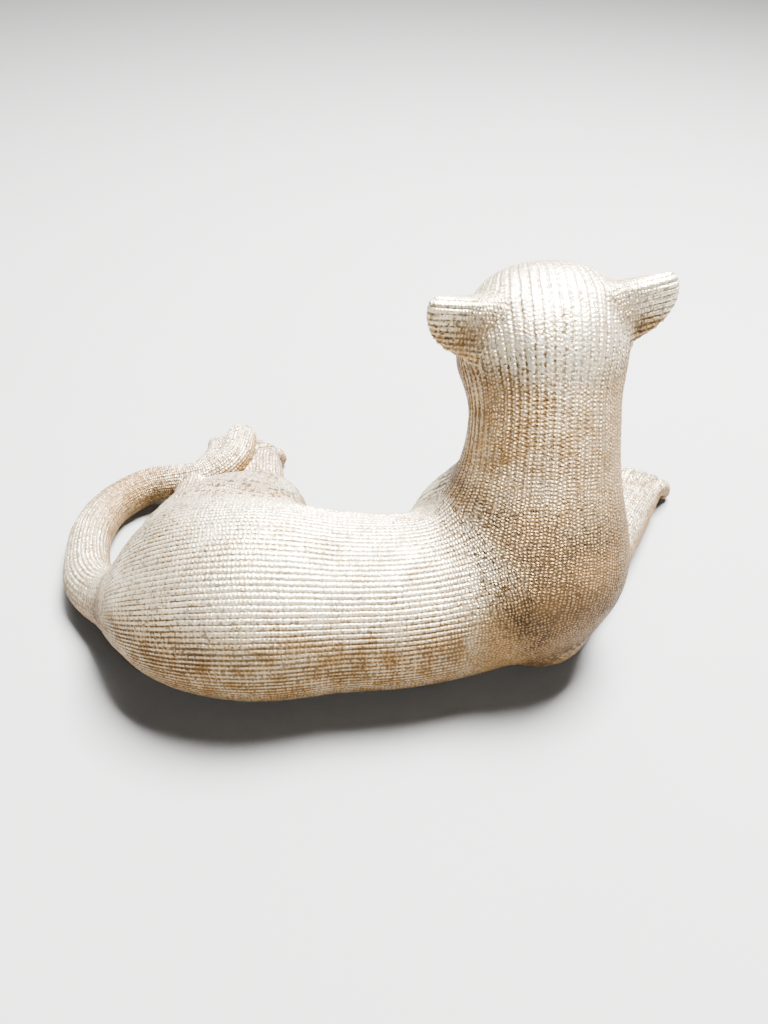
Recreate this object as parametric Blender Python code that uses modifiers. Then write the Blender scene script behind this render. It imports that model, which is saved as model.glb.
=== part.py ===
"""Reclining leopard figurine, cast in one piece: a solid that rests on its flat underside.

The figure is one blended skin over swept limbs and rounded masses. A limb is a list of stations, each
(x, y, z, radius) in millimetres. The body lies along X with the chest at -X and the rump at +X, the face
looks along -Y, and the ground is Z = 0. The finished mesh is centred over the origin.
"""

import math

import bmesh
import bpy
import numpy as np
from mathutils import Euler

MM = 0.001

# Skin
GRID = 1.6  # spacing of the samples that the skin is drawn from
BLOCK = 4  # samples along each side of a block, which is passed over when no surface is near
SPLINE_STEP = 1.5  # between neighbouring points of a limb's centre line
FAR = 25  # past this distance from a limb its exact distance no longer matters
LOW = np.array([-145.0, -95.0, -12.0])
HIGH = np.array([145.0, 100.0, 145.0])
TRIANGLES = 9000

GOLD = (0.60, 0.49, 0.33)  # champagne gold paint, linear

# Trunk, from the tail root to the base of the skull
TORSO = (
    (88, 43, 20, 13),
    (69, 48, 27, 28.5),
    (46, 50, 31, 34.8),
    (18, 49, 29.5, 32),
    (-8, 47.5, 29, 30.7),
    (-34, 42, 31, 30),
    (-50, 36, 36, 28),
)
NECK = (
    (-53, 38, 44, 26),
    (-54.2, 25, 72, 25.8),
    (-54.8, 8, 98, 25.3),
)
SHOULDERS = ((-51, 32, 37), (33, 31, 31))
CHEST = ((-54, 8, 43.5), (25, 23, 29.5))

# Forelegs, shoulder to wrist, and each paw's place with its heading in degrees from -Y towards -X
RIGHT_FORELEG = (
    (-60, 30, 34, 20),
    (-58, 46, 15, 15.5),
    (-74, 29, 12, 12),
    (-96.5, -8, 10.5, 11.3),
    (-110, -30, 9, 9.7),
)
RIGHT_FOREPAW = (-116, -42, 37)
LEFT_FORELEG = (
    (-33, 18, 36, 23),
    (-28, 8, 16, 16),
    (-40, -22, 11.5, 11.5),
    (-51, -46, 9.5, 9.5),
)
LEFT_FOREPAW = (-54, -56, 10)

# Hind legs: the left one lies folded on the ground, and the right one shows only its foot
THIGH = (
    (65, 36, 31, 25.5),
    (66, 15, 28, 21.5),
    (60, 3, 25, 20),
    (50.5, -1, 23.5, 19.5),
)
HAUNCH = ((47, 15, 30, 19.5), (64, 15, 31, 19.5), (81, 12, 24, 15))
SHANK = (
    (54, -5, 18, 17),
    (70, -7, 17.5, 15.5),
    (82, -9, 13.5, 12.5),
)
LEFT_FOOT = (
    (82, -12, 12, 11.5),
    (82, -40, 10, 10),
    (76, -60, 9, 9.2),
)
LEFT_HINDPAW = (73.5, -70.5, -4)
RIGHT_FOOT = (
    (56, 0, 12, 12),
    (55, -36, 10.5, 10.5),
    (57, -54, 9.5, 10),
)
RIGHT_HINDPAW = (62, -65.5, 28)

# Tail, from the rump round to its raised tip
TAIL = (
    (90, 42, 20, 13),
    (107, 30, 12, 10.6),
    (117, 18.5, 9.5, 9.8),
    (122, 4, 8.7, 8.8),
    (124, -12, 8.5, 8.6),
    (120, -29, 8.5, 8.3),
    (106, -41, 10.5, 8),
    (88, -41, 14, 7.6),
    (75, -42, 17.5, 7.4),
    (67, -48, 21.5, 7.2),
    (65, -58, 24.5, 7),
)

# Paws: each toe runs from the back of the paw over its knuckle to the ground
TOES = 4
TOE = ((5.4, 7, 9.5, 3.9), (7, -2, 10.8, 3.7), (7.8, -8.5, 8, 3.6), (8, -11, 4.2, 3.4))
TOE_STEP = 1.3  # how far the outer toes stay behind the middle ones
PALM = ((0, 1.5, 6.5), (10, 12.5, 8.5))

# Head, about the middle of the skull; in its own frame the face looks along -Y
HEAD = (-53.4, 1, 107)
HEAD_TURN = (9, 2, 9)  # degrees: nod, tilt, turn
SKULL = ((6, 0, 0), (21.5, 25, 24.8))
CHEEK = ((12.5, -10, -9), (13.5, 14, 12.5))
BROW = ((9.5, -18, 7), (8, 6, 5))
MUZZLE = ((0, -24, -9.5), (13.5, 13, 10.5))
BRIDGE = ((0, -14, 8, 8), (0, -24, 4, 7), (0, -33, -2.5, 5.6))
LIP = ((6, -31, -10), (8, 7.5, 6.8))
NOSE = ((0, -37.6, -3.8), (5, 2.6, 3.2))
CHIN = ((0, -30, -17), (7, 6.5, 4.5))
EYE = (11, -19.5, 1, 5)

# Ears: a thick leaf that stands out sideways, in its own frame with X outward from its root and Z up
EAR_ROOT = (21, 8, 11)
EAR_LIFT = 6  # degrees
EAR_LEAF = (4, 2.5, 14.5)  # middle and half height of the oval that it is cut from
EAR_REACH = {1: 16.4, -1: 18.6}  # half length of the oval on each side
EAR_TOP = 8.1  # its straight upper edge
EAR_THICKNESS = (12, 7)  # at the root and at the tip
EAR_HOLLOW = ((9, -6.5, -2), (10.5, 5.5, 8))


def spline(stations):
    """Closely spaced points of a Catmull-Rom curve through the stations, radius included."""
    knots = np.array(stations, float)
    knots = np.vstack([2 * knots[0] - knots[1], knots, 2 * knots[-1] - knots[-2]])
    points = []
    for before, start, end, after in zip(knots, knots[1:], knots[2:], knots[3:]):
        steps = math.ceil(np.linalg.norm(end - start) / SPLINE_STEP)
        t = np.arange(steps)[:, None] / steps
        linear = end - before
        square = 2 * before - 5 * start + 4 * end - after
        cubic = 3 * start - before - 3 * end + after
        points.append(start + (linear * t + square * t**2 + cubic * t**3) / 2)
    return np.vstack(points + [knots[-2]])


def limb(points, stations):
    """Distance of each point from a tube whose radius follows the stations, or FAR well away from it."""
    path = spline(stations)
    middles, radii = path[:, :3], path[:, 3]
    low = middles.min(axis=0) - radii.max() - FAR
    high = middles.max(axis=0) + radii.max() + FAR
    near = np.flatnonzero(np.all((points > low) & (points < high), axis=1))
    distance = np.full(len(points), float(FAR))
    for part in np.array_split(near, 1 + len(near) // 50000):
        inner = points[part]
        square = (inner**2).sum(axis=1)[:, None] + (middles**2).sum(axis=1) - 2 * inner @ middles.T
        gap = np.sqrt(np.maximum(square, 0)) - radii
        best = np.clip(gap.argmin(axis=1), 1, len(path) - 2)
        before, own, after = (gap[np.arange(len(part)), best + step] for step in (-1, 0, 1))
        slope, bend = (after - before) / 2, before - 2 * own + after
        shift = np.clip(-slope / np.maximum(bend, 1e-9), -1, 1)
        distance[part] = own + slope * shift + bend / 2 * shift**2
    return np.minimum(distance, FAR)


def ellipsoid(points, centre, radii):
    """Distance of each point from an ellipsoid, near enough close to its surface."""
    offset = points - np.array(centre, float)
    radii = np.array(radii, float)
    scaled = np.linalg.norm(offset / radii, axis=1)
    slope = np.linalg.norm(offset / radii**2, axis=1)
    return scaled * (scaled - 1) / np.maximum(slope, 1e-9)


def ball(points, sphere):
    """Distance of each point from a sphere, given as x, y, z and radius."""
    return np.linalg.norm(points - np.array(sphere[:3], float), axis=1) - sphere[3]


def blend(first, second, width):
    """Union of two distances with a fillet about as wide as given."""
    share = np.maximum(width - np.abs(first - second), 0) / width
    return np.minimum(first, second) - share**2 * width / 4


def turned(points, centre, degrees):
    """Points in the frame of a part that sits at centre, turned about X, Y and Z."""
    turn = np.array(Euler([math.radians(a) for a in degrees]).to_matrix())
    return (points - np.array(centre, float)) @ turn


def overlap(first, second, width):
    """What two distances have in common, its edge rounded."""
    return -blend(-first, -second, width)


def mirrored(centre, side):
    """The place on the given side, +1 or -1, of one given on the +X side."""
    return (centre[0] * side,) + tuple(centre[1:])


def paw(points, place):
    """A paw that points along its heading: a palm, and toes side by side in front."""
    local = turned(points, (place[0], place[1], 0), (0, 0, -place[2]))
    shape = ellipsoid(local, *PALM)
    for side in np.linspace(-1, 1, TOES):
        back = TOE_STEP * side**2
        toe = [(reach * side, y + back, z, radius) for reach, y, z, radius in TOE]
        shape = blend(shape, limb(local, toe), 0.8)
    return shape


def ear(local, side):
    """A thick leaf with a rounded lower edge, hollow in front."""
    own = turned(local * (side, 1, 1), EAR_ROOT, (0, -EAR_LIFT, 0))
    x, z, half = EAR_LEAF
    reach = EAR_REACH[side]
    outline = ellipsoid(own * (1, 0, 1), (x, 0, z), (reach, reach, half))
    outline = overlap(outline, own[:, 2] - EAR_TOP, 2.5)
    root, tip = EAR_THICKNESS
    thickness = root + (tip - root) * np.clip(own[:, 0] / reach, 0, 1)
    faces = np.abs(own[:, 1]) - thickness / 2
    leaf = overlap(outline, faces, 5)
    return overlap(leaf, -ellipsoid(own, *EAR_HOLLOW), 2)


def head(points):
    """Distance of each point from the head, built about the middle of the skull and turned into place."""
    local = turned(points, HEAD, HEAD_TURN)
    shape = np.full(len(points), float(FAR))
    for side in (-1, 1):
        shape = blend(shape, ellipsoid(local, mirrored(SKULL[0], side), SKULL[1]), 6)
    shape = blend(shape, ellipsoid(local, *MUZZLE), 9)
    shape = blend(shape, limb(local, BRIDGE), 5)
    shape = blend(shape, ellipsoid(local, *CHIN), 3)
    for side in (-1, 1):
        shape = blend(shape, ellipsoid(local, mirrored(CHEEK[0], side), CHEEK[1]), 8)
        shape = blend(shape, ellipsoid(local, mirrored(BROW[0], side), BROW[1]), 5)
        shape = blend(shape, ellipsoid(local, mirrored(LIP[0], side), LIP[1]), 2)
        shape = blend(shape, ball(local, mirrored(EYE, side)), 1)
        shape = blend(shape, ear(local, side), 4)
    return blend(shape, ellipsoid(local, *NOSE), 1.5)


def tail(points):
    """Distance of each point from the tail, with the width of its fillet: wide only at the root."""
    root = np.linalg.norm(points - np.array(TAIL[0][:3], float), axis=1)
    return limb(points, TAIL), 2 + 10 * np.clip(1.6 - root / 30, 0, 1)


def figure(points):
    """Distance of each point from the whole leopard."""
    shape = limb(points, TORSO)
    shape = blend(shape, ellipsoid(points, *SHOULDERS), 12)
    shape = blend(shape, ellipsoid(points, *CHEST), 12)
    shape = blend(shape, limb(points, NECK), 20)
    shape = blend(shape, head(points), 8)
    shape = blend(shape, blend(limb(points, THIGH), limb(points, HAUNCH), 6), 14)
    shank = blend(limb(points, SHANK), limb(points, LEFT_FOOT), 4)
    shape = blend(shape, shank, 14)
    shape = blend(shape, limb(points, RIGHT_FOOT), 5)
    shape = blend(shape, limb(points, RIGHT_FORELEG), 9)
    shape = blend(shape, limb(points, LEFT_FORELEG), 9)
    for place in (RIGHT_FOREPAW, LEFT_FOREPAW, LEFT_HINDPAW, RIGHT_HINDPAW):
        shape = blend(shape, paw(points, place), 5)
    return blend(shape, *tail(points))


def lattice(counts):
    """Every whole-number point of a box that starts at zero, the last axis running fastest."""
    return np.stack(np.meshgrid(*map(np.arange, counts), indexing="ij"), axis=-1).reshape(-1, 3)


def sample(distance, low, counts, step):
    """The distance at every point of a grid, worked out closely only in the blocks near the surface."""
    blocks = counts // BLOCK
    corners = lattice(blocks) * BLOCK
    rough = distance(low + (corners + (BLOCK - 1) / 2) * step)
    value = np.kron(rough.reshape(blocks), np.ones((BLOCK, BLOCK, BLOCK)))
    near = corners[np.abs(rough) < 1.3 * BLOCK * step]
    inner = lattice((BLOCK, BLOCK, BLOCK))
    for block in np.array_split(near, 1 + len(near) // 4000):
        nodes = (block[:, None] + inner).reshape(-1, 3)
        value[tuple(nodes.T)] = distance(low + nodes * step)
    return value


def skin(distance, low, high, step):
    """The zero surface of a distance, as points and quads, with one point in each grid cell it crosses."""
    counts = (np.ceil((high - low) / (BLOCK * step)).astype(int) + 1) * BLOCK
    value = sample(distance, low, counts, step)
    stride = np.array([counts[1] * counts[2], counts[2], 1])
    crossings, quads = [], []
    for axis in range(3):
        first = np.take(value, range(counts[axis] - 1), axis)
        last = np.take(value, range(1, counts[axis]), axis)
        edge = np.argwhere((first < 0) != (last < 0))
        a, b = first[tuple(edge.T)], last[tuple(edge.T)]
        crossing = edge.astype(float)
        crossing[:, axis] += a / (a - b)
        u, v = stride[(axis + 1) % 3], stride[(axis + 2) % 3]
        own = edge @ stride
        around = np.stack([own, own - u, own - u - v, own - v], axis=1)
        around[a > 0] = around[a > 0][:, ::-1]
        quads.append(around)
        crossings.append(np.repeat(crossing, 4, axis=0))
    cells, quads = np.unique(np.concatenate(quads), return_inverse=True)
    quads = quads.reshape(-1, 4)
    crossings = np.concatenate(crossings)
    share = np.bincount(quads.ravel())
    total = [np.bincount(quads.ravel(), crossings[:, axis]) for axis in range(3)]
    return low + np.stack(total, axis=1) / share[:, None] * step, quads


def settle(points, distance, rounds=2, reach=0.04):
    """Points moved along the distance's slope until they lie on its zero surface."""
    corners = np.array([(1, 1, 1), (1, -1, -1), (-1, 1, -1), (-1, -1, 1)])
    for _ in range(rounds):
        values = np.stack([distance(points + corner * reach) for corner in corners], axis=1)
        slope = values @ corners / (4 * reach)
        steepness = np.maximum((slope**2).sum(axis=1), 0.1)
        points = points - slope * (values.mean(axis=1) / steepness)[:, None]
    return points


def apply_modifiers(leopard):
    """Puts the object's evaluated mesh in place of its own, with no modifier left on it."""
    graph = bpy.context.evaluated_depsgraph_get()
    mesh = bpy.data.meshes.new_from_object(leopard.evaluated_get(graph))
    leopard.modifiers.clear()
    leopard.data = mesh


def even_out(leopard):
    """Remeshes the skin evenly, so that no two folds share an edge, and settles it again."""
    even = leopard.modifiers.new("even", "REMESH")
    even.mode = "VOXEL"
    even.voxel_size = GRID * MM
    apply_modifiers(leopard)
    points = np.empty(len(leopard.data.vertices) * 3)
    leopard.data.vertices.foreach_get("co", points)
    points = settle(points.reshape(-1, 3) / MM, figure) * MM
    leopard.data.vertices.foreach_set("co", points.ravel())


def reduce(leopard, triangles):
    """Draws the flatter stretches of the skin with fewer, larger triangles."""
    leopard.data.calc_loop_triangles()
    fewer = leopard.modifiers.new("fewer", "DECIMATE")
    fewer.ratio = triangles / len(leopard.data.loop_triangles)
    fewer.use_collapse_triangulate = True
    apply_modifiers(leopard)


def stand(mesh):
    """Cuts the mesh off flat at the ground, closes its underside and centres it over the origin."""
    bm = bmesh.new()
    bm.from_mesh(mesh)
    everything = bm.verts[:] + bm.edges[:] + bm.faces[:]
    cut = bmesh.ops.bisect_plane(
        bm, geom=everything, plane_co=(0, 0, 0), plane_no=(0, 0, 1), clear_inner=True
    )
    rim = [edge for edge in cut["geom_cut"] if isinstance(edge, bmesh.types.BMEdge)]
    bmesh.ops.triangle_fill(bm, edges=rim, normal=(0, 0, -1), use_beauty=True)
    bmesh.ops.recalc_face_normals(bm, faces=bm.faces)
    xs = [vert.co.x for vert in bm.verts]
    ys = [vert.co.y for vert in bm.verts]
    middle = ((min(xs) + max(xs)) / 2, (min(ys) + max(ys)) / 2)
    bmesh.ops.translate(bm, verts=bm.verts, vec=(-middle[0], -middle[1], 0))
    bm.to_mesh(mesh)
    bm.free()


def gold_paint():
    material = bpy.data.materials.new("gold_resin")
    material.use_nodes = True
    shader = material.node_tree.nodes["Principled BSDF"]
    shader.inputs["Base Color"].default_value = (*GOLD, 1)
    shader.inputs["Roughness"].default_value = 0.45
    shader.inputs["Metallic"].default_value = 0.7
    material.diffuse_color = (*GOLD, 1)
    return material


def main():
    for old in list(bpy.data.objects):
        bpy.data.objects.remove(old)
    figurine = bpy.data.collections.new("figurine")
    bpy.context.scene.collection.children.link(figurine)

    points, quads = skin(figure, LOW, HIGH, GRID)
    mesh = bpy.data.meshes.new("leopard")
    mesh.from_pydata((points * MM).tolist(), [], quads.tolist())
    leopard = bpy.data.objects.new("leopard", mesh)
    figurine.objects.link(leopard)

    even_out(leopard)
    reduce(leopard, TRIANGLES)
    stand(leopard.data)
    leopard.data.materials.append(gold_paint())
    for polygon in leopard.data.polygons:
        polygon.use_smooth = True


main()
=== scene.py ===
"""Reclining leopard figurine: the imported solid's figure with the ribbed skin, face and paws of the real
casting, on a plain floor.

The figure is one blended skin over swept limbs and rounded masses. A limb is a list of stations, each
(x, y, z, radius) in millimetres. The body lies along X with the chest at -X and the rump at +X, the face
looks along -Y, and the ground is Z = 0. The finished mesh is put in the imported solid's own box.
"""

import math

import bmesh
import bpy
import numpy as np
from mathutils import Euler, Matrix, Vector


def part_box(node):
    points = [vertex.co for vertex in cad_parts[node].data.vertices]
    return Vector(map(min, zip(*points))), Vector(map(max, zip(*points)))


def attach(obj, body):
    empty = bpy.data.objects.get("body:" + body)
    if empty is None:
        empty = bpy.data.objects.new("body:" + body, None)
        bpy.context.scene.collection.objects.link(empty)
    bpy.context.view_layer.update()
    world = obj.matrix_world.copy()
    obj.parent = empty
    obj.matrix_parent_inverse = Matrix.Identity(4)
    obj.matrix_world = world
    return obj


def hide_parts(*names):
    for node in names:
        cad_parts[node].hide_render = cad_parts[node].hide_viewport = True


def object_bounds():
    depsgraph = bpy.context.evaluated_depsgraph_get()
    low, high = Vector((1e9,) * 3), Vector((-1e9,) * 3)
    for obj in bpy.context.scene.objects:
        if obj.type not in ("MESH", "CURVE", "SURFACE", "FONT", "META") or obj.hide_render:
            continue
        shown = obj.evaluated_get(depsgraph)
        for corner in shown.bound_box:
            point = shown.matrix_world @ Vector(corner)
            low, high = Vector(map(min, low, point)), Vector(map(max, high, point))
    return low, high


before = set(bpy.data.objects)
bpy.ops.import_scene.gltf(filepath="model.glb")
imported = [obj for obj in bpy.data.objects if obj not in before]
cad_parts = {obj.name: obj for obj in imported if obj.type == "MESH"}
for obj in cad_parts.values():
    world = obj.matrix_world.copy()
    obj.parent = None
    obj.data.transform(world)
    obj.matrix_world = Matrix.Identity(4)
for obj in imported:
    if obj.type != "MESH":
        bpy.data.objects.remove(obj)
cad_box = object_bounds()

MM = 0.001
X, Y, Z = 0, 1, 2
UPWARD = (0, 0, 1)
BACKWARD = (0, 1, 0)

# Skin
GRID = 1.3  # spacing of the samples that the skin is drawn from
BLOCK = 4  # samples along a block's side; blocks with no surface near are passed over
BLOCK_REACH = 1.3  # of a block's side, how far off its middle a surface counts as near
BLOCK_BATCH = 4000
POINT_BATCH = 50_000
SPLINE_STEP = 1.5  # between neighbouring points of a limb's centre line
SLOPE_REACH = 0.04  # how far round a point the skin's slope is measured
SLOPE_LEAST = 0.1
FAR = 25.0  # past this its exact distance from a limb no longer matters
LOW = np.array([-145.0, -95.0, -12.0])
HIGH = np.array([145.0, 100.0, 145.0])
TRIANGLES = 190_000

# Trunk, from the tail root to the base of the skull; a mass is its centre, its radii and its fillet's width
TORSO = (
    (88, 43, 20, 13), (69, 48, 27, 28.5), (46, 50, 31, 34.8), (18, 49, 29.5, 32),
    (-8, 47.5, 29, 30.7), (-34, 42, 31, 30), (-50, 36, 36, 28),
)
NECK = ((-53, 38, 44, 26), (-54.2, 25, 72, 25.8), (-54.8, 8, 98, 25.3))
NECK_FILLET = 20
HEAD_FILLET = 8
SHOULDERS = ((-51, 32, 37), (33, 31, 31), 12)
CHEST = ((-54, 8, 43.5), (25, 23, 29.5), 12)

# Forelegs, shoulder to wrist
RIGHT_FORELEG = (
    (-60, 30, 34, 20), (-58, 46, 15, 15.5), (-74, 29, 12, 12), (-96.5, -8, 10.5, 11.3),
    (-110, -30, 9, 9.7),
)
LEFT_FORELEG = ((-33, 18, 36, 23), (-28, 8, 16, 16), (-40, -22, 11.5, 11.5), (-51, -46, 9.5, 9.5))
FORELEG_FILLET = 9

# Hind legs: the left one lies folded on the ground, and the right one shows only its foot
THIGH = ((65, 36, 31, 25.5), (66, 15, 28, 21.5), (60, 3, 25, 20), (50.5, -1, 23.5, 19.5))
HAUNCH = ((47, 15, 30, 19.5), (64, 15, 31, 19.5), (81, 12, 24, 15))
SHANK = ((54, -5, 18, 17), (70, -7, 17.5, 15.5), (82, -9, 13.5, 12.5))
LEFT_FOOT = ((82, -12, 12, 11.5), (82, -40, 10, 10), (76, -60, 9, 9.2))
RIGHT_FOOT = ((56, 0, 12, 12), (55, -36, 10.5, 10.5), (57, -54, 9.5, 10))
THIGH_FILLET = 14
HAUNCH_FILLET = 6
SHANK_FILLET = 4
FOOT_FILLET = 5

# Each leg as its ribs run, its paw's place and heading in degrees from -Y towards -X, and its ribs' number
LEGS = (
    (RIGHT_FORELEG, (-116, -42, 37), 42),
    (LEFT_FORELEG, (-54, -56, 10), 42),
    (SHANK + LEFT_FOOT[1:], (73.5, -70.5, -4), 40),
    (RIGHT_FOOT, (62, -65.5, 28), 40),
)

# Tail, from the rump round to its raised tip
TAIL = (
    (90, 42, 20, 13), (107, 30, 12, 10.6), (117, 18.5, 9.5, 9.8), (122, 4, 8.7, 8.8),
    (124, -12, 8.5, 8.6), (120, -29, 8.5, 8.3), (106, -41, 10.5, 8), (88, -41, 14, 7.6),
    (75, -42, 17.5, 7.4), (67, -48, 21.5, 7.2), (65, -58, 24.5, 7),
)
TAIL_FILLET = ((18, 48), (12, 2))  # its width, by how far off the tail's root it is

# Paws: each toe runs from the back of the paw over its knuckle to the ground
TOES = 4
TOE = ((5.4, 7, 9.5, 3.9), (7, -2, 10.8, 3.7), (7.8, -8.5, 8, 3.6), (8, -11, 4.2, 3.4))
TOE_STEP = 1.3  # how far the outer toes stay behind the middle ones
TOE_FILLET = 0.8
PALM = ((0, 1.5, 6.5), (10, 12.5, 8.5))

# Head, about the middle of the skull; in its own frame the face looks along -Y
HEAD = (-53.4, 1, 107)
HEAD_TURN = (9, 2, 9)  # degrees: nod, tilt, turn
SKULL = ((6, 0, 0), (21.5, 25, 24.8), 6)
CHEEK = ((12.5, -10, -9), (13.5, 14, 12.5), 8)
BROW = ((9.5, -18, 7), (8, 6, 5), 5)
MUZZLE = ((0, -24, -9.5), (13.5, 13, 10.5), 9)
BRIDGE = ((0, -14, 8, 8), (0, -24, 4, 7), (0, -33, -2.5, 5.6))
BRIDGE_FILLET = 5
LIP = ((6, -31, -10), (8, 7.5, 6.8), 2)
NOSE = ((0, -37.6, -3.8), (5, 2.6, 3.2), 1.5)
CHIN = ((0, -30, -17), (7, 6.5, 4.5), 3)
EYE = (11, -19.5, 1)
EYE_RADIUS = 5

# Ears: a thick leaf that stands out sideways, in its own frame with X outward from its root and Z up
EAR_ROOT = (21, 8, 11)
EAR_LIFT = 6  # degrees
EAR_LEAF = (4, 2.5, 14.5)  # middle and half height of the oval that it is cut from
EAR_REACH = {1: 16.4, -1: 18.6}  # half length of the oval on each side
EAR_TOP = 8.1  # its straight upper edge
EAR_THICKNESS = (12, 7)  # at the root and at the tip
EAR_HOLLOW = ((9, -6.5, -2), (10.5, 5.5, 8))
EAR_ROUNDING = (2.5, 5, 2)  # of the upper edge, the faces' rim and the hollow's rim
EAR_FILLET = 4

# The face's finer shapes, in the head's frame, and in the eye's own frame
EYE_OPENING = (5.4, 2.5)  # half width and half height of the almond
EYE_SPREAD = 18  # degrees outward
EYE_SLANT = 9  # degrees that the outer corner is raised
EYE_SET = 0.8  # how far the ball sits behind EYE
EYE_FRONT = (3, -1)  # nothing at one depth and full at the other, as for every pair given to ramp
EYE_RIM = (0.2, -0.8)
EYE_HOLLOW = 2.6  # how deep the almond is opened
PUPIL_RIM = (1.5, 0.8)
PUPIL_DEPTH = 0.4
LID_WIDTH = 1.5
LID_HEIGHT = 0.9
NOSTRIL = ((2.7, -39.8, -4.6), (1.4, 2.2, 1.0), 0.6)
NOSE_FOOT = 6.5
MOUTH_DROP = 13.4
MOUTH_CURVE = 0.03
MOUTH_CURL = 0.12
MOUTH_STRAIGHT = 7
MOUTH_ENDS = (14, 11)
MOUTH_FRONT = (-16, -19)
LINE_END = 1
LINE_HALF = 0.75
LINE_DEPTH = 1.3

# Grooves between the toes: how far out they lie, by the way forward, and their section
TOE_GAPS = ((-16, 2, 8.5), (2.8, 4.7, 5.2))
TOE_GROOVE_ENDS = (-16, 10)  # how far forward and back the grooves run
TOE_GROOVE_FADE = 0.3  # how fast they narrow behind that
TOE_GROOVE_FOOT = 3
TOE_GROOVE_HALF = 0.9
TOE_GROOVE_DEPTH = 1.4

# New triangles where one, two or three sides are cut, from corners 0 to 2 and side middles 3 to 5
CUT_TRIANGLES = (
    ((0, 3, 2), (3, 1, 2)),
    ((3, 1, 4), (0, 3, 4), (0, 4, 2)),
    ((0, 3, 5), (3, 1, 4), (4, 2, 5), (3, 4, 5)),
)

# The skin's finer stretches
COARSE_EDGE = 1.9  # longest edge wanted on the body, on the paws and on the face
MEDIUM_EDGE = 1.2
FINE_EDGE = 0.7
FINE_PASSES = 3
FACE_FINE = ((0, -26, -3), (19, 17, 17))  # middle and half sizes in the head's frame
EYE_EDGE = 0.45
EYE_FINE = 8.5
PAW_FINE = (5, 17)  # height of the middle and reach

# Ribs
NECK_RIBS = (
    (-52, 44, 30, 26), (-53, 36, 48, 26), (-54.2, 25, 72, 25.8), (-54.8, 10, 96, 25.3),
    (-54, -9, 108, 20), (-54, -30, 103, 11), (-54, -38, 100, 7),
)
RIB_RUNS = (  # centre line, ribs round it, side they count from, rib depth
    (TORSO, 108, UPWARD, 0.34),
    (NECK_RIBS, 58, BACKWARD, 0.36),
    (TAIL, 34, UPWARD, 0.36),
)
LEG_DEPTH = 0.34
PAW_TIP = (13, 4, 8)  # where a leg's ribs end in its paw: reach, height and radius
LINES = (0.0, 0.2, 0.5, 0.8, 1.0)  # across a rib: groove, shoulder, crest, shoulder, groove
LINE_NUMBERS = np.arange(len(LINES))
RIB_PROFILE = ((0.0, 0.2, 0.5), (-1.0, -0.3, 0.0))  # height from the groove to the crest
RIB_PASSES = 4
RIB_PITCH_LEAST = (0.9, 1.4)  # narrower ribs flatten out
RIB_WANDER = (6, 0.05)  # length of the waves in which ribs stray, and how far, of a rib
RIB_SWELL = (9, 0.45)  # length of the waves in which they swell, and how much
WANDER_WAVES = np.array(
    [(0.31, 0.17, 0.11), (-0.13, 0.42, 0.29), (0.55, -0.21, 0.37), (0.19, 0.33, -0.62)]
)
WANDER_FOLD = 0.7
WANDER_GAIN = 1.6  # brings the waves' mean back to about their height
SNAP = 0.15  # of a line's spacing: an end nearer than this lies on the line
STEP_MOST = 3  # an edge that crosses more ribs than this is left whole
CUT_LEAST = 0.02  # of an edge, the shortest end cut off
SHARE_LEAST = 0.01
DEPTH_LEAST = 0.06
DEPTH_FULL = 0.34
COURSE_BLUR = 2.5
PART_BLUR = 1.2
EAR_PITCH = 1.9
EAR_SHIFT = 0.3
EAR_ROUND = 1000.0  # far more ribs than an ear has, as they don't close round it
EAR_DEPTH = 0.36

# Beads, which take the ribs' place where the skin is grainy
BEAD_PITCH = 1.08
BEAD_HEIGHT = 0.13
BEAD_WAVES = np.array([(0.8, 0.6, 0.0), (-0.6, 0.8, 0.2), (0.1, -0.3, 0.95), (0.5, 0.5, -0.7)])
BEAD_ROWS = np.array([1, 2, 1, 1, 1, 1, 1, 1, 1])  # rows of beads to a rib, by part
GRAIN_ROWS = np.array([1.6, 2.3, 1.3, 1.4, 1.4, 1.4, 1.4, 1.5, 1.5])  # and on grain
GRAIN_FLATTENS = 0.85
GRAINY = (  # regions, each bounded along axes, and how grainy they are
    (((X, -12, -38), (Z, 88, 62)), 1),  # shoulder
    (((Y, 4, -8), (X, -10, -25)), 0.6),  # throat
    (((Y, 24, 10), (X, 25, 42)), 0.25),  # haunch
    (((Z, 22, 8),), 0.9),  # near the ground
    (((X, 92, 98),), 0.3),  # tail
    (((Y, -24, -32),), 0.3),  # feet
)
GRAINY_NECK = ((X, -10, -25), (Z, 50, 66))
NECK_GRAIN = (0.25, 0.6)  # how grainy it is along the nape, and how much more beside that
NECK_SIDE = (11, 20)
NECK_FOOT = (90, 72)
NAPE_TOP = (102, 116)
NAPE_RIBBED = 0.8
BESIDE_EAR = (14, 6)
OFF_EAR = (6, 12)
OUTER_EAR = (23, 26)
TAIL_ROOT = (95, 40, 20)
ROOT_REACH = (34, 14)
TAIL_STAIN = (110, -26, 10)
STAIN_REACH = (34, 6)
TAIL_GRAIN = 0.85
BARE_FACE = ((Y, -18, -28), (Z, 9, 1))
BARE_EYE = (12, 8)
FACE_REACH = (52, 44)
EAR_RIM = ((X, 3, 6), (X, 27, 23))
EAR_UNDERSIDE = ((Z, -2.5, -5.5), (Z, -20, -16))
EAR_BACK = (10, 7)
EAR_BEND = 14  # radius of the beaded rim
EAR_BEAD_PITCH = 1.6
EAR_BEAD_STRETCH = 1.6
EAR_BEAD_HEIGHT = 0.35

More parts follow.
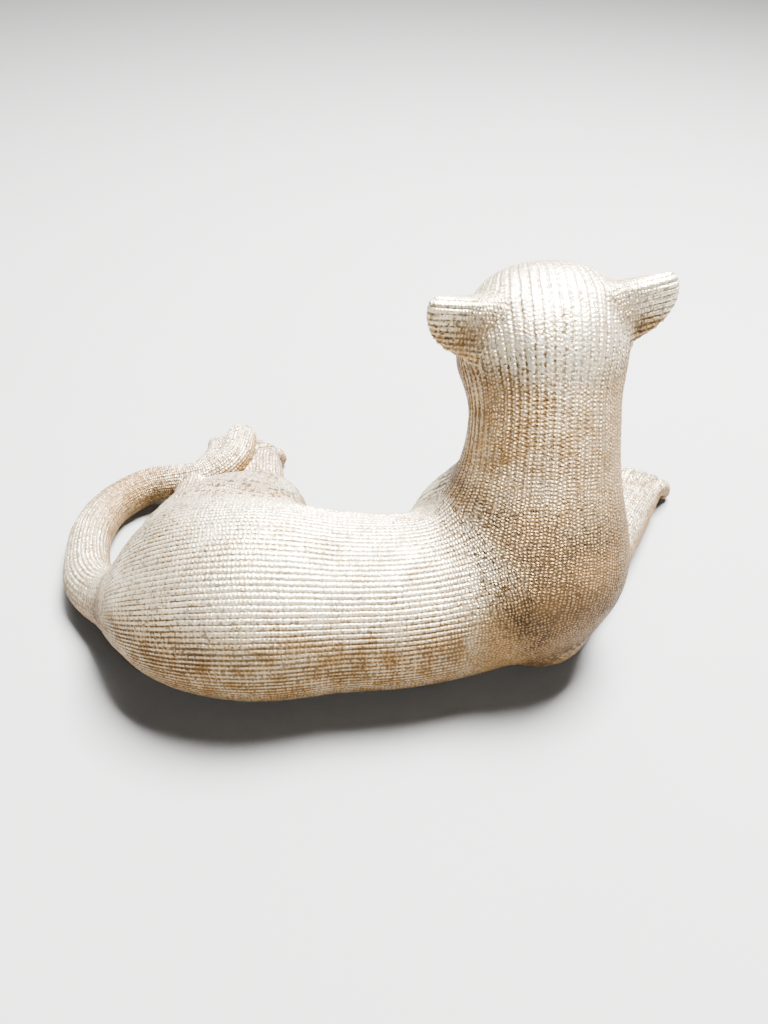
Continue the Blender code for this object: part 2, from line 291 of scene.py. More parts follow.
# Paint: levels noted on the skin, then the material
FACING_REACH = 2  # how far round a point is measured which way its skin faces
PALE_FACING = (0.25, 0.7)  # how far upward skin faces that starts to be pale, and is fully so: rubbed wear and painted light from above
PALE_CROWN = (101, 116)  # heights between which the head turns pale: wear and a painted highlight
PALE_EARS = (114, 124)  # and the ears, with a painted highlight too
NECK_SHADE = 0.85  # how far the neck is kept from that pale, leaving painted shade on it
# fewer brown groove marks on the head's pale top, part of its painted highlight
CROWN_FLATTENS = 0.4
FOLD_PATINA_AND_SHADE = (0.3, 3.5)  # how thick a fillet is in the folds painted darker: brown patina and painted shade
NICKED = ((Y, 28, 12), (X, -20, 20))
LIMB_NICKS = 0.9
PALE_GOLD = (0.97, 0.88, 0.66, 1)
# warm gold of smudges and grain, also painted as shade on skin that doesn't face up
WARM_GOLD_AND_SHADE = (0.33, 0.175, 0.048, 1)
WARM_MOST = 0.95
GLINT = (0.66, 0.41, 0.14, 1)
GLINT_MOST = 0.4
BROWN = (0.05, 0.03, 0.014, 1)
BRONZE = (0.13, 0.074, 0.03, 1)
METALLIC = 0.82

# Clouds: feature size, detail, and the levels of the noise where they start and are full
PATCHES = (22, 3, 0.38, 0.66)
SMUDGES = (6, 4, 0.42, 0.7)
SPECKS = (1.2, 3, 0.53, 0.62)
FLECKS = (0.5, 3)
GROOVE_STRAY = (3, 0.2)  # feature size, and how far the grooves stray, of a rib
BEAD_STRAY = (2.2, 2.5)
JITTER = (0.5, 1.3)  # of a bead, how far beads stray from their rows on ribs and on grain
GROOVE = (0.2, 0.03)  # off a rib's edge, where the brown starts and is full
GROOVE_SPREAD = 0.2  # of a rib, how much wider the brown is on little worn skin and on painted shade
STITCH = 1.75
STITCH_EDGE = (0.34, 0.12)
BEAD_EDGE = (0.52, 0.02)
BEADED = (0, 0.45)  # how grainy the skin is where the fine beads show
LOOSE = (0.4, 0.8)  # and where they leave the ribs' rows
NICKS = (0.5, 2.6)  # how many to a rib across, and their pitch along
NICK_STRAY = 1.2
NICK_EDGE = (0.45, 0.2)
NICK_CHOICE = (0.15, 0.5)

# How strong a mark is, from where what it follows is nothing to where that is full
FRESH_AND_SHADED = (0.7, 1)  # skin little worn and not facing up, painted darker as shade, by the smudges
RIBBED = (1, 0.3)  # grooves, by the grain
FURROW = (0.4, 0.7)  # a groove, and what a pit adds
SOILED_AND_SHADED = (0.15, 0.55)  # the gaps between beads, by the wear and the painted shade
SOILED_GRAIN = 0.4
SPECK_DARK = (0.7, 0.9)  # by the soiling and the painted shade
WORKED = 3  # specks fill in over ribs and grain this fast, and the bare face has none
DARK = (0.75, 0.95)  # by the patches
# how much darker the folds are painted: patina and painted shade
FOLD_PATINA_AND_SHADE_DARK = 0.3
# smudges and brass fade where the skin is painted pale by wear and light from above
SMUDGE_WORN_AND_LIT = (1, 0.4)
BRASS_WORN_AND_LIT = (1, 0.2)
SHEEN = (0.15, 0.29)  # roughness, by the flecks and from bead to bead
FRESH_AND_SHADED_ROUGH = 0.2
DARK_ROUGH = 0.25
PIT_DEPTH = 0.25
BEAD_BUMP = (0.12, 0.3)  # height of the fine beads on ribs and on grain
BEAD_OWN = (0.6, 1.2)  # of that height, from bead to bead
FLECK_HEIGHT = 0.22

# Studio
FLOOR_COLOURS = ((0.22, 0.218, 0.214, 1), (0.2134, 0.21146, 0.20758, 1))
FLOOR_CLOUDS = (40, 4)
FLOOR_ROUGHNESS = 0.85
FLOOR_SIZE = 12
WORLD_COLOUR = (0.9, 0.95, 1, 1)
WORLD_STRENGTH = 0.1
LIGHTS = (  # name, direction from the middle, distance, size, power
    ("key", (-0.25, -0.27, 1.0), 1.0, 0.45, 225),
    ("fill", (-0.45, 1.0, 0.9), 1.3, 0.25, 5),
    ("back", (0.2, -1.0, 1.1), 2.4, 1.2, 80),
)
CAMERA_RISE = 40  # degrees above the floor, at the figure's back
CAMERA_DISTANCE = 330
CAMERA_AIM = (-0.65, 0.6, 30)  # from the middle of the figure's footprint
CAMERA_LENS = 29.11


def lengths(vectors):
    return np.linalg.norm(vectors, axis=1)


def spline(stations):
    """Close points of a Catmull-Rom curve through the stations, radius included."""
    knots = np.array(stations, float)
    knots = np.vstack([2 * knots[0] - knots[1], knots, 2 * knots[-1] - knots[-2]])
    points = []
    for before, start, end, after in zip(knots, knots[1:], knots[2:], knots[3:]):
        steps = math.ceil(np.linalg.norm(end - start) / SPLINE_STEP)
        t = np.arange(steps)[:, None] / steps
        linear = end - before
        square = 2 * before - 5 * start + 4 * end - after
        cubic = 3 * start - before - 3 * end + after
        points.append(start + (linear * t + square * t**2 + cubic * t**3) / 2)
    return np.vstack(points + [knots[-2]])


def batches(items, most):
    """The items in batches of no more than the given number."""
    return np.array_split(items, 1 + len(items) // most)


def gaps(points, path):
    """Distances from each sphere along a limb's path."""
    middles, radii = path[:, :3], path[:, 3]
    square = (points**2).sum(axis=1)[:, None] + (middles**2).sum(axis=1) - 2 * points @ middles.T
    return np.sqrt(np.maximum(square, 0)) - radii


def limb(points, stations):
    """Distances, up to FAR, from a tube whose radius follows the stations."""
    path = spline(stations)
    middles, reach = path[:, :3], path[:, 3].max() + FAR
    near = (points > middles.min(axis=0) - reach) & (points < middles.max(axis=0) + reach)
    distance = np.full(len(points), FAR)
    for part in batches(np.flatnonzero(near.all(axis=1)), POINT_BATCH):
        gap = gaps(points[part], path)
        best = np.clip(gap.argmin(axis=1), 1, len(path) - 2)
        before, own, after = (gap[np.arange(len(part)), best + step] for step in (-1, 0, 1))
        slope, bend = (after - before) / 2, before - 2 * own + after
        shift = np.clip(-slope / np.maximum(bend, 1e-9), -1, 1)
        distance[part] = own + slope * shift + bend / 2 * shift**2
    return np.minimum(distance, FAR)


def ellipsoid(points, centre, radii):
    """Distances from an ellipsoid, near enough close to its surface."""
    offset = points - centre
    scaled = lengths(offset / radii)
    slope = lengths(offset / np.square(radii))
    return scaled * (scaled - 1) / np.maximum(slope, 1e-9)


def away(points, place):
    return lengths(points - place)


def blend(first, second, width):
    """Union of two distances with a fillet about as wide as given."""
    share = np.maximum(width - np.abs(first - second), 0) / width
    return np.minimum(first, second) - share**2 * width / 4


def turned(points, centre, degrees):
    """Points in the frame of a part that sits at centre, turned about X, Y and Z."""
    turn = np.array(Euler([math.radians(a) for a in degrees]).to_matrix())
    return (points - centre) @ turn


def overlap(first, second, width):
    """What two distances have in common, its edge rounded."""
    return -blend(-first, -second, width)


def mirrored(centre, side):
    """The place on the given side, +1 or -1, of one given on the +X side."""
    return (centre[0] * side, *centre[1:])


def mass(points, sizes, side=1):
    """Distances from a mass, or for side -1 from its mirror image."""
    return ellipsoid(points, mirrored(sizes[0], side), sizes[1])


def melt(shape, points, sizes, side=1):
    """The shape with a mass added to it."""
    return blend(shape, mass(points, sizes, side), sizes[2])


def in_head(points):
    return turned(points, HEAD, HEAD_TURN)


def in_ear(local, side):
    """Points of the head's frame in the frame of the ear on the given side."""
    return turned(local * (side, 1, 1), EAR_ROOT, (0, -EAR_LIFT, 0))


def carve(shape, mark, depth):
    """Sinks the surface by a depth where mark is below zero, with sides as steep as mark."""
    return np.maximum(shape, np.minimum(-mark, shape + depth))


def paw(points, place):
    """A palm and toes side by side, which point along the paw's heading."""
    local = turned(points, (place[0], place[1], 0), (0, 0, -place[2]))
    shape = ellipsoid(local, *PALM)
    for side in np.linspace(-1, 1, TOES):
        back = TOE_STEP * side**2
        toe = [(reach * side, y + back, z, radius) for reach, y, z, radius in TOE]
        shape = blend(shape, limb(local, toe), TOE_FILLET)
    return shape


def toe_grooves(shape, points, place):
    """Grooves between a paw's toes, which run on over the back of the foot."""
    x, y, z = turned(points, (place[0], place[1], 0), (0, 0, -place[2])).T
    spread = np.interp(-y, *TOE_GAPS)
    front, back = TOE_GROOVE_ENDS
    past = np.maximum(y - back, 0) * TOE_GROOVE_FADE + np.maximum(front - y, 0)
    for side in (-1, 0, 1):
        across = np.abs(x - spread * side) + past
        mark = np.maximum(across - TOE_GROOVE_HALF, TOE_GROOVE_FOOT - z)
        shape = carve(shape, mark, TOE_GROOVE_DEPTH)
    return shape


def ear(local, side):
    """A thick leaf with a rounded lower edge, hollow in front."""
    own = in_ear(local, side)
    x, z, half = EAR_LEAF
    reach = EAR_REACH[side]
    edge, rim, hollow_rim = EAR_ROUNDING
    outline = ellipsoid(own * (1, 0, 1), (x, 0, z), (reach, reach, half))
    outline = overlap(outline, own[:, 2] - EAR_TOP, edge)
    root, tip = EAR_THICKNESS
    thickness = root + (tip - root) * np.clip(own[:, 0] / reach, 0, 1)
    leaf = overlap(outline, np.abs(own[:, 1]) - thickness / 2, rim)
    return overlap(leaf, -ellipsoid(own, *EAR_HOLLOW), hollow_rim)


def eye(shape, local, side):
    """An almond opened between raised lids, and in it the eye's ball with a sunk pupil."""
    own = turned(local * (side, 1, 1), EYE, (0, -EYE_SLANT, EYE_SPREAD))
    x, y, z = own.T
    half, high = EYE_OPENING
    almond = (np.abs(z) - high * (1 - (x / half) ** 2)) / np.hypot(1, 2 * high * x / half**2)
    front = ramp(y, *EYE_FRONT)
    ridge = np.exp(-((2 * almond / LID_WIDTH - 1) ** 2))
    shape = shape - LID_HEIGHT * ridge * front + EYE_HOLLOW * ramp(almond, *EYE_RIM) * front
    ball = away(own, (0, EYE_SET, 0)) - EYE_RADIUS
    ball = ball + PUPIL_DEPTH * ramp(np.hypot(x, z), *PUPIL_RIM) * front
    return np.minimum(shape, ball)


def muzzle_lines(shape, local):
    """Nostrils, mouth and the groove under the nose."""
    for side in (-1, 1):
        shape = overlap(shape, -mass(local, NOSTRIL, side), NOSTRIL[2])
    x, y, z = local.T
    under_nose = ramp(z, -MOUTH_DROP - LINE_END, -MOUTH_DROP) * ramp(z, LINE_END - NOSE_FOOT, -NOSE_FOOT)
    under_nose = under_nose * np.exp(-((x / LINE_HALF) ** 2))
    curl = MOUTH_CURL * np.maximum(np.abs(x) - MOUTH_STRAIGHT, 0) ** 2
    mouth = np.exp(-(((z + MOUTH_DROP + MOUTH_CURVE * x**2 - curl) / LINE_HALF) ** 2))
    mouth = mouth * ramp(np.abs(x), *MOUTH_ENDS)
    return shape + LINE_DEPTH * np.maximum(mouth, under_nose) * ramp(y, *MOUTH_FRONT)


def head(points):
    local = in_head(points)
    shape = np.full(len(points), FAR)
    for side in (-1, 1):
        shape = melt(shape, local, SKULL, side)
    shape = melt(shape, local, MUZZLE)
    shape = blend(shape, limb(local, BRIDGE), BRIDGE_FILLET)
    shape = melt(shape, local, CHIN)
    for side in (-1, 1):
        for sizes in (CHEEK, BROW, LIP):
            shape = melt(shape, local, sizes, side)
        shape = blend(shape, ear(local, side), EAR_FILLET)
    shape = muzzle_lines(melt(shape, local, NOSE), local)
    for side in (-1, 1):
        shape = eye(shape, local, side)
    return shape


def figure(points):
    """Distances from the whole leopard."""
    shape = limb(points, TORSO)
    for sizes in (SHOULDERS, CHEST):
        shape = melt(shape, points, sizes)
    shape = blend(shape, limb(points, NECK), NECK_FILLET)
    shape = blend(shape, head(points), HEAD_FILLET)
    thigh = blend(limb(points, THIGH), limb(points, HAUNCH), HAUNCH_FILLET)
    shank = blend(limb(points, SHANK), limb(points, LEFT_FOOT), SHANK_FILLET)
    shape = blend(blend(shape, thigh, THIGH_FILLET), shank, THIGH_FILLET)
    shape = blend(shape, limb(points, RIGHT_FOOT), FOOT_FILLET)
    for leg in (RIGHT_FORELEG, LEFT_FORELEG):
        shape = blend(shape, limb(points, leg), FORELEG_FILLET)
    for _, place, _ in LEGS:
        shape = blend(shape, paw(points, place), FOOT_FILLET)
        shape = toe_grooves(shape, points, place)
    tail_fillet = np.interp(away(points, TAIL[0][:3]), *TAIL_FILLET)
    return blend(shape, limb(points, TAIL), tail_fillet)


def lattice(counts):
    """Every whole-number point of a box from zero up, the last axis running fastest."""
    return np.stack(np.meshgrid(*map(np.arange, counts), indexing="ij"), axis=-1).reshape(-1, 3)


def sample(distance, low, counts, step):
    """The distance at every point of a grid, exact only in the blocks near the surface."""
    blocks = counts // BLOCK
    corners = lattice(blocks) * BLOCK
    rough = distance(low + (corners + (BLOCK - 1) / 2) * step)
    value = np.kron(rough.reshape(blocks), np.ones((BLOCK, BLOCK, BLOCK)))
    near = corners[np.abs(rough) < BLOCK_REACH * BLOCK * step]
    inner = lattice((BLOCK, BLOCK, BLOCK))
    for block in batches(near, BLOCK_BATCH):
        nodes = (block[:, None] + inner).reshape(-1, 3)
        value[tuple(nodes.T)] = distance(low + nodes * step)
    return value


def skin(distance, low, high, step):
    """The zero surface of a distance: a point in each grid cell that it crosses, and quads."""
    counts = (np.ceil((high - low) / (BLOCK * step)).astype(int) + 1) * BLOCK
    value = sample(distance, low, counts, step)
    stride = np.array([counts[1] * counts[2], counts[2], 1])
    crossings, quads = [], []
    for axis in range(3):
        first = np.take(value, range(counts[axis] - 1), axis)
        last = np.take(value, range(1, counts[axis]), axis)
        edge = np.argwhere((first < 0) != (last < 0))
        a, b = first[tuple(edge.T)], last[tuple(edge.T)]
        crossing = edge.astype(float)
        crossing[:, axis] += a / (a - b)
        u, v = stride[(axis + 1) % 3], stride[(axis + 2) % 3]
        own = edge @ stride
        around = np.stack([own, own - u, own - u - v, own - v], axis=1)
        around[a > 0] = around[a > 0][:, ::-1]
        quads.append(around)
        crossings.append(np.repeat(crossing, 4, axis=0))
    quads = np.unique(np.concatenate(quads), return_inverse=True)[1].reshape(-1, 4)
    crossings = np.concatenate(crossings)
    share = np.bincount(quads.ravel())
    total = [np.bincount(quads.ravel(), crossings[:, axis]) for axis in range(3)]
    return low + np.stack(total, axis=1) / share[:, None] * step, quads


def settle(points):
    """Points moved along the figure's slope to its surface."""
    corners = np.array([(1, 1, 1), (1, -1, -1), (-1, 1, -1), (-1, -1, 1)])
    values = np.stack([figure(points + corner * SLOPE_REACH) for corner in corners], axis=1)
    slope = values @ corners / (4 * SLOPE_REACH)
    steepness = np.maximum((slope**2).sum(axis=1), SLOPE_LEAST)
    return points - slope * (values.mean(axis=1) / steepness)[:, None]


# ---- The skin as a mesh ----


def assign(thing, settings):
    for name, value in settings.items():
        setattr(thing, name, value)


def modify(piece, kind, **settings):
    """Puts a modifier's result in place of the piece's mesh."""
    assign(piece.modifiers.new(kind, kind), settings)
    graph = bpy.context.evaluated_depsgraph_get()
    mesh = bpy.data.meshes.new_from_object(piece.evaluated_get(graph))
    piece.modifiers.clear()
    piece.data = mesh


def mesh_arrays(mesh):
    """A mesh's points, in millimetres, and its triangles."""
    mesh.calc_loop_triangles()
    points = np.empty(len(mesh.vertices) * 3)
    mesh.vertices.foreach_get("co", points)
    faces = np.empty(len(mesh.loop_triangles) * 3, dtype=np.int64)
    mesh.loop_triangles.foreach_get("vertices", faces)
    return points.reshape(-1, 3) / MM, faces.reshape(-1, 3)


def add_object(name, data):
    made = bpy.data.objects.new(name, data)
    bpy.context.scene.collection.objects.link(made)
    return made


def new_piece(name, points, faces):
    mesh = bpy.data.meshes.new(name)
    mesh.from_pydata((points * MM).tolist(), [], faces.tolist())
    return add_object(name, mesh)


def cut_edges(faces, count, place):
    """Splits the edges for which place(start, end) gives a share of their length, not NaN.

    Gives the new triangles, and for each new point the ends of its edge and its share.
    """
    ends = np.concatenate([faces[:, [0, 1]], faces[:, [1, 2]], faces[:, [2, 0]]])
    ends.sort(axis=1)
    keys, index = np.unique(ends[:, 0] * count + ends[:, 1], return_inverse=True)
    start, end = keys // count, keys % count
    share = place(start, end)
    cut = np.isfinite(share)
    number = np.full(len(keys), -1)
    number[cut] = count + np.arange(cut.sum())
    middle = number[index.reshape(3, -1).T]
    split = middle >= 0
    leads = (split.argmax(axis=1), (split.argmin(axis=1) + 1) % 3, np.zeros(len(faces), int))
    pieces = [faces[~split.any(axis=1)]]
    for cuts, (lead, triangles) in enumerate(zip(leads, CUT_TRIANGLES), 1):
        chosen = np.flatnonzero(split.sum(axis=1) == cuts)[:, None]
        order = (lead[chosen] + np.arange(3)) % 3
        nodes = np.hstack([faces[chosen, order], middle[chosen, order]])
        pieces += [nodes[:, triangle] for triangle in triangles]
    return np.concatenate(pieces), start[cut], end[cut], share[cut]


def refine(points, faces):
    """Halves the long edges where the figure has fine features."""
    for _ in range(FINE_PASSES):
        fine = fine_size(points)

        def place(start, end):
            length = lengths(points[start] - points[end])
            return np.where(length > (fine[start] + fine[end]) / 2, 0.5, np.nan)

        faces, start, end, _ = cut_edges(faces, len(points), place)
        points = np.vstack([points, (points[start] + points[end]) / 2])
    return points, faces


def fine_size(points):
    """The longest edge wanted at each point."""
    local = in_head(points)
    middle, half_sizes = FACE_FINE
    face = lengths((local - middle) / half_sizes)
    size = np.where(face < 1, FINE_EDGE, COARSE_EDGE)
    for side in (-1, 1):
        size = np.where(away(local, mirrored(EYE, side)) < EYE_FINE, EYE_EDGE, size)
    height, reach = PAW_FINE
    for _, (x, y, _), _ in LEGS:
        size = np.where(away(points, (x, y, height)) < reach, MEDIUM_EDGE, size)
    return size


def normals_of(points, faces):
    corners = points[faces]
    flat = np.cross(corners[:, 1] - corners[:, 0], corners[:, 2] - corners[:, 0])
    total = [np.bincount(faces.ravel(), np.repeat(flat[:, a], 3), len(points)) for a in range(3)]
    total = np.stack(total, axis=1)
    return total / np.maximum(lengths(total), 1e-12)[:, None]


# ---- Ribs ----


def course(stations, upward):
    """A limb's centre line with radii, each point's way along, and a frame carried along."""
    path = spline(stations)
    middles = path[:, :3]
    along = np.concatenate([[0], np.cumsum(lengths(np.diff(middles, axis=0)))])
    ahead = np.gradient(middles, along, axis=0)
    ahead /= lengths(ahead)[:, None]
    up = np.empty_like(ahead)
    carried = upward
    for number, direction in enumerate(ahead):
        carried = carried - direction * (carried @ direction)
        carried /= np.linalg.norm(carried)
        up[number] = carried
    return path, along, ahead, up


def unroll(points, stations, upward):
    """Each point's way along a limb, its turns round it from -0.5 to 0.5, and its distance off."""
    path, along, ahead, up = course(stations, upward)
    result = np.empty((len(points), 3))
    for part in batches(np.arange(len(points)), POINT_BATCH):
        gap = gaps(points[part], path)
        share = np.exp((gap.min(axis=1)[:, None] - gap) / COURSE_BLUR)
        share /= share.sum(axis=1)[:, None]
        offset = points[part] - share @ path[:, :3]
        forward = share @ ahead
        forward /= lengths(forward)[:, None]
        upright = share @ up
        upright -= forward * (upright * forward).sum(axis=1)[:, None]
        across = np.cross(forward, upright)
        high = (offset * upright).sum(axis=1)
        wide = (offset * across).sum(axis=1)
        result[part, 0] = share @ along + (offset * forward).sum(axis=1)
        result[part, 1] = np.arctan2(wide, high) / (2 * math.pi)
        result[part, 2] = np.hypot(high, wide)
    return result


def ramp(value, low, high):
    """0 below low, 1 above high, and a smooth step between; low may be the greater."""
    t = np.clip((value - low) / (high - low), 0, 1)
    return t * t * (3 - 2 * t)


def region(points, ramps, share=1.0):
    """A share times the ramps that bound a region, each along an axis."""
    for axis, low, high in ramps:
        share = share * ramp(points[:, axis], low, high)
    return share


def paw_end(place):
    """The last station of a leg's ribs, at the toes of its paw."""
    x, y, heading = place
    turn = math.radians(heading)
    reach, height, radius = PAW_TIP
    return (x - reach * math.sin(turn), y - reach * math.cos(turn), height, radius)


def rib_parts():
    """RIB_RUNS and the same for the legs."""
    legs = [(stations + (paw_end(place),), number, UPWARD, LEG_DEPTH) for stations, place, number in LEGS]
    return [*RIB_RUNS, *legs]


def part_distances(points):
    """Distances from each ribbed part, the two ears last."""
    local = in_head(points)
    trunk = np.minimum(limb(points, TORSO), limb(points, THIGH))
    for sizes in (SHOULDERS, CHEST):
        trunk = np.minimum(trunk, mass(points, sizes))
    neck = np.minimum(limb(points, NECK), mass(local, MUZZLE))
    for side in (-1, 1):
        for sizes in (SKULL, CHEEK, LIP):
            neck = np.minimum(neck, mass(local, sizes, side))
    legs = [np.minimum(limb(points, stations), paw(points, place)) for stations, place, _ in LEGS]
    ears = [ear(local, side) for side in (-1, 1)]
    return np.stack([trunk, neck, limb(points, TAIL), *legs, *ears], axis=1)


def short_way(step, period):
    """A step in rib counts, the short way round a part."""
    return (step + period / 2) % period - period / 2


def wander(points, length, amount):
    """A wavy field over space, with waves about as long and as high as given."""
    waves = points @ WANDER_WAVES.T * (2 * math.pi / length)
    return amount * np.sin(waves + np.sin(waves[:, ::-1] * WANDER_FOLD)).mean(axis=1) * WANDER_GAIN


def ribs(points):
    """By part: each point's rib count, way along, share and rib depth, and the ribs round the part."""
    distance = part_distances(points)
    share = np.exp((distance.min(axis=1)[:, None] - distance) / PART_BLUR)
    share /= share.sum(axis=1)[:, None]
    count, along, depth = (np.zeros(distance.shape) for _ in range(3))
    period = np.full(distance.shape[1], EAR_ROUND)
    for column, (stations, number, upward, deep) in enumerate(rib_parts()):
        near = np.flatnonzero(share[:, column] > SHARE_LEAST)
        length, turns, radius = unroll(points[near], stations, upward).T
        count[near, column] = turns * number + wander(points[near], *RIB_WANDER)
        along[near, column] = length
        pitch = 2 * math.pi * radius / number
        depth[near, column] = deep * ramp(pitch, *RIB_PITCH_LEAST)
        period[column] = number
    local = in_head(points)
    for column, side in ((-2, -1), (-1, 1)):
        own = in_ear(local, side)
        count[:, column] = own[:, 2] / EAR_PITCH + EAR_SHIFT
        along[:, column] = own[:, 0]
        depth[:, column] = EAR_DEPTH
    depth *= ((1 - grain(points) * GRAIN_FLATTENS) * (1 - smooth_face(points)))[:, None]
    depth *= (1 + wander(points, *RIB_SWELL))[:, None]
    return count, along, share, depth, period


def tail_stain(points):
    """How far the skin is within the tail's stain, from 0 to 1."""
    return ramp(away(points, TAIL_STAIN), *STAIN_REACH)


def grain(points):
    """How far the ribs give way to beads, from 0 to 1."""
    height = points[:, 2]
    aside = np.maximum(ramp(np.abs(points[:, 0] - NECK[1][0]), *NECK_SIDE), ramp(height, *NECK_FOOT))
    least, more = NECK_GRAIN
    neck = region(points, GRAINY_NECK, least + more * aside) * (1 - NAPE_RIBBED * ramp(height, *NAPE_TOP))
    local = in_head(points)
    from_ear = np.minimum(*(away(local, mirrored(EAR_ROOT, side)) for side in (-1, 1)))
    neck = neck * (1 - ramp(from_ear, *OFF_EAR) * ramp(np.abs(local[:, 0]), *OUTER_EAR))
    marked = np.maximum(ramp(away(points, TAIL_ROOT), *ROOT_REACH), tail_stain(points))
    parts = [region(points, bounds) * amount for bounds, amount in GRAINY]
    return np.maximum.reduce([*parts, neck, marked * TAIL_GRAIN, ramp(from_ear, *BESIDE_EAR)])


def smooth_face(points):
    """1 where the face is left without ribs, round the eyes, nose and mouth."""
    local = in_head(points)
    bare = region(local, BARE_FACE)
    for side in (-1, 1):
        bare = np.maximum(bare, ramp(away(local, mirrored(EYE, side)), *BARE_EYE))
    return bare * ramp(lengths(local), *FACE_REACH)


def levelled(count):
    """Rib counts stretched so that the LINES of each rib fall on whole numbers."""
    whole = np.floor(count)
    return whole * LINE_NUMBERS[-1] + np.interp(count - whole, LINES, LINE_NUMBERS)


def unlevelled(level):
    """The rib counts that levelled() stretched."""
    whole = np.floor(level / LINE_NUMBERS[-1])
    return whole + np.interp(level - whole * LINE_NUMBERS[-1], LINE_NUMBERS, LINES)


def draw_ribs(points, faces, state):
    """Cuts the triangles along the ribs' lines."""
    count, along, share, depth, period = state
    for _ in range(RIB_PASSES):

        def place(start, end):
            column = (share[start] + share[end]).argmax(axis=1)
            a, b = count[start, column], count[end, column]
            step = short_way(b - a, period[column])
            ends = np.stack([levelled(a), levelled(a + step)])
            low, high = np.where(np.abs(ends - np.round(ends)) < SNAP, np.round(ends), ends)
            first = np.floor(np.minimum(low, high)) + 1
            last = np.ceil(np.maximum(low, high)) - 1
            level = np.clip(np.round((low + high) / 2), first, last)
            t = (unlevelled(level) - a) / np.where(np.abs(step) < 1e-9, 1, step)
            deep = (depth[start, column] + depth[end, column]) / 2
            good = (first <= last) & (deep > DEPTH_LEAST) & (np.abs(step) < STEP_MOST)
            return np.where(good & (t > CUT_LEAST) & (t < 1 - CUT_LEAST), t, np.nan)

        faces, start, end, t = cut_edges(faces, len(points), place)
        t = t[:, None]
        count = np.vstack([count, count[start] + short_way(count[end] - count[start], period) * t])
        along, share, depth, points = (
            np.vstack([value, value[start] * (1 - t) + value[end] * t])
            for value in (along, share, depth, points)
        )
    return points, faces, (count, along, share, depth, period)


def rib_relief(state):
    """Height of each point's rib over the bare skin, in millimetres."""
    count, _, share, depth, _ = state
    height = np.interp(np.abs(count - np.round(count)), *RIB_PROFILE)
    return (share * depth * height).sum(axis=1)


def beads(points):
    """Height of the small bumps where the skin is grainy."""
    phase = points @ BEAD_WAVES.T * (2 * math.pi / BEAD_PITCH)
    return BEAD_HEIGHT * np.cos(phase).mean(axis=1)


def ear_beads(points):
    """Height of the beads along the ears' lower rims, of their full height."""
    local = in_head(points)
    height = np.zeros(len(points))
    for side in (-1, 1):
        own = in_ear(local, side)
        on_ear = region(own, EAR_RIM) * ramp(np.abs(own[:, 1]), *EAR_BACK)
        lower = region(own, EAR_UNDERSIDE)
        turn = np.arctan2(own[:, 2], own[:, 0] - EAR_LEAF[0]) * EAR_BEND
        round_rim = np.sin(turn * 2 * math.pi / EAR_BEAD_PITCH)
        round_rim *= np.cos(own[:, 1] * 2 * math.pi / (EAR_BEAD_PITCH * EAR_BEAD_STRETCH))
        height += on_ear * lower * round_rim
    return height


# ---- The piece ----


def surface():
    """The leopard's finished skin: ribs drawn and raised, fewer triangles, cut off flat."""
    points, quads = skin(figure, LOW, HIGH, GRID)
    leopard = new_piece("leopard_skin", points, quads)
    modify(leopard, "REMESH", mode="VOXEL", voxel_size=GRID * MM)
    points, faces = mesh_arrays(leopard.data)
    bpy.data.objects.remove(leopard)
    points, faces = refine(settle(points), faces)
    points = settle(points)
    points, faces, state = draw_ribs(points, faces, ribs(points))
    grainy = grain(points) * (1 - smooth_face(points))
    relief = rib_relief(state) + beads(points) * grainy + EAR_BEAD_HEIGHT * ear_beads(points)
    points = points + normals_of(points, faces) * relief[:, None]
    leopard = new_piece("leopard_skin", points, faces)
    ratio = min(TRIANGLES / len(faces), 1)
    modify(leopard, "DECIMATE", ratio=ratio, use_collapse_triangulate=True)
    stand(leopard.data)
    return leopard


def stand(mesh):
    """Cuts the mesh off flat at the ground and closes its underside."""
    bm = bmesh.new()
    bm.from_mesh(mesh)
    everything = bm.verts[:] + bm.edges[:] + bm.faces[:]
    cut = bmesh.ops.bisect_plane(bm, geom=everything, plane_no=UPWARD, clear_inner=True)
    rim = [edge for edge in cut["geom_cut"] if isinstance(edge, bmesh.types.BMEdge)]
    bmesh.ops.triangle_fill(bm, edges=rim, normal=(0, 0, -1), use_beauty=True)
    bmesh.ops.triangulate(bm, faces=bm.faces[:])
    bmesh.ops.recalc_face_normals(bm, faces=bm.faces)
    bm.to_mesh(mesh)
    bm.free()


def store(mesh, domain, fields):
    """Stores numbers at the mesh's corners or points for the paint to read."""
    for name, values in fields.items():
        layer = mesh.attributes.new(name, "FLOAT", domain)
        layer.data.foreach_set("value", values.astype(np.float32).ravel())


